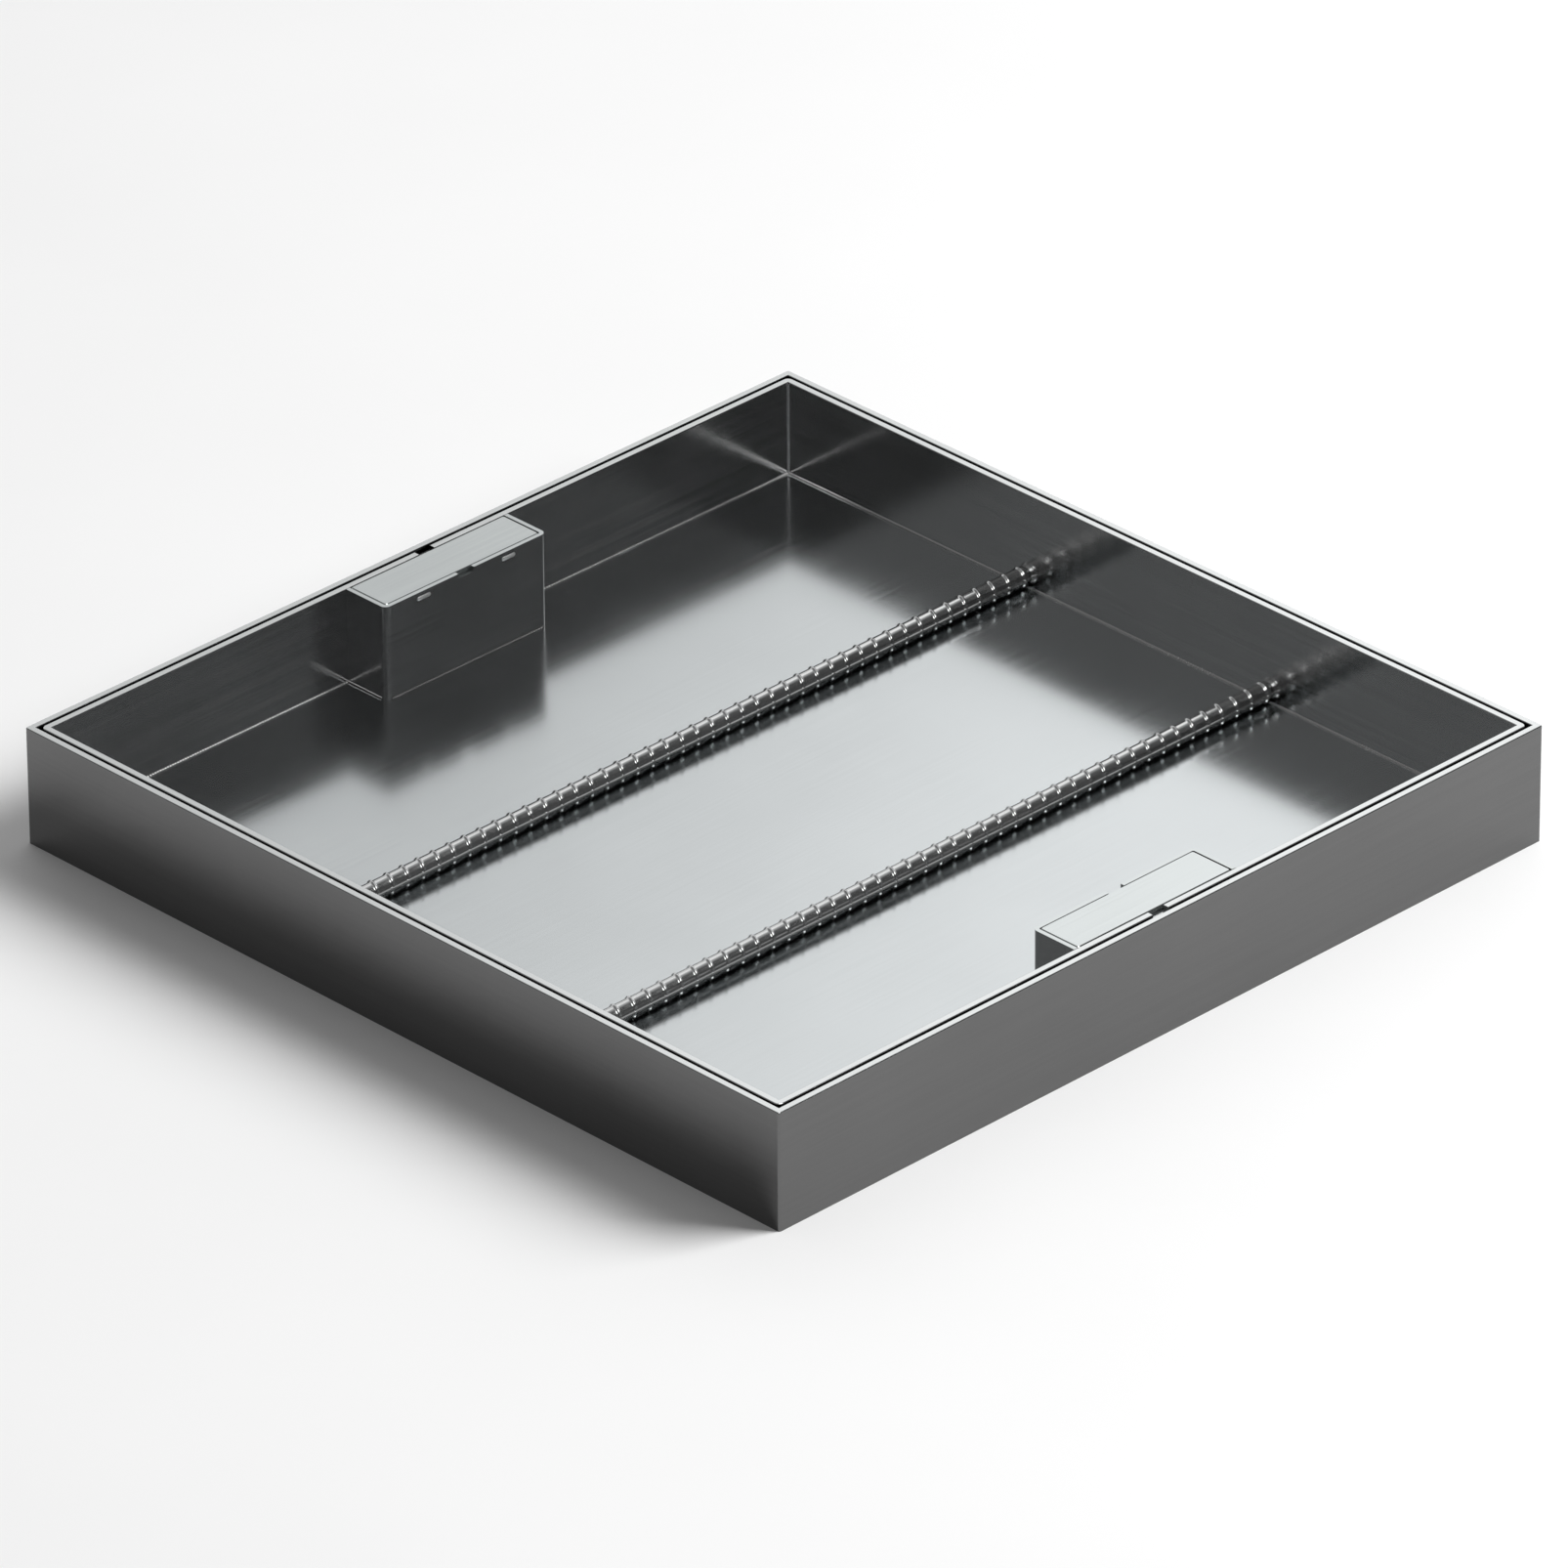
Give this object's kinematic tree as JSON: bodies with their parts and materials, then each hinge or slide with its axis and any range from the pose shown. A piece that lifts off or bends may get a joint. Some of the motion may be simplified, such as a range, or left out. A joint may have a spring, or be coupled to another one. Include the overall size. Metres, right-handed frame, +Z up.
{
  "type": "septic tank cover",
  "caption": "Square recessed access cover of stainless steel: a shallow tray for paving, with lifting pockets and reinforcing bars, seated in a ledged frame.",
  "frame": {"origin": "middle of the frame's underside, on the surface that the frame stands on", "axes": "+Z up, +X along the two sides that carry the lifting pockets, +Y from the front pocket to the back one"},
  "size_m": [0.686, 0.686, 0.085],
  "materials": {
    "frame_steel": "satin stainless plate, welded and brushed",
    "tray_steel": "satin stainless plate, welded and brushed",
    "floor_steel": "smooth mill finish stainless plate",
    "ribbed_bar_steel": "rolled stainless reinforcing bar",
    "lift_box_steel": "folded satin stainless sheet",
    "lid_steel": "satin stainless plate",
    "pocket_fitting_steel": "plain stainless bar"
  },
  "bodies": {
    "root": {"frame_front": "frame_steel", "frame_right": "frame_steel", "frame_back": "frame_steel", "frame_left": "frame_steel", "tray_wall_front": "tray_steel", "tray_wall_right": "tray_steel", "tray_wall_back": "tray_steel", "tray_wall_left": "tray_steel", "tray_floor": "floor_steel", "ribbed_bar_front": "ribbed_bar_steel", "lift_box_front": "lift_box_steel", "lift_box_lid_front": "lid_steel", "lifting_bar_front": "pocket_fitting_steel", "lid_rest_front_left": "pocket_fitting_steel", "lid_rest_front_right": "pocket_fitting_steel", "ribbed_bar_back": "ribbed_bar_steel", "lift_box_back": "lift_box_steel", "lift_box_lid_back": "lid_steel", "lifting_bar_back": "pocket_fitting_steel", "lid_rest_back_left": "pocket_fitting_steel", "lid_rest_back_right": "pocket_fitting_steel"}
  },
  "joints": []
}
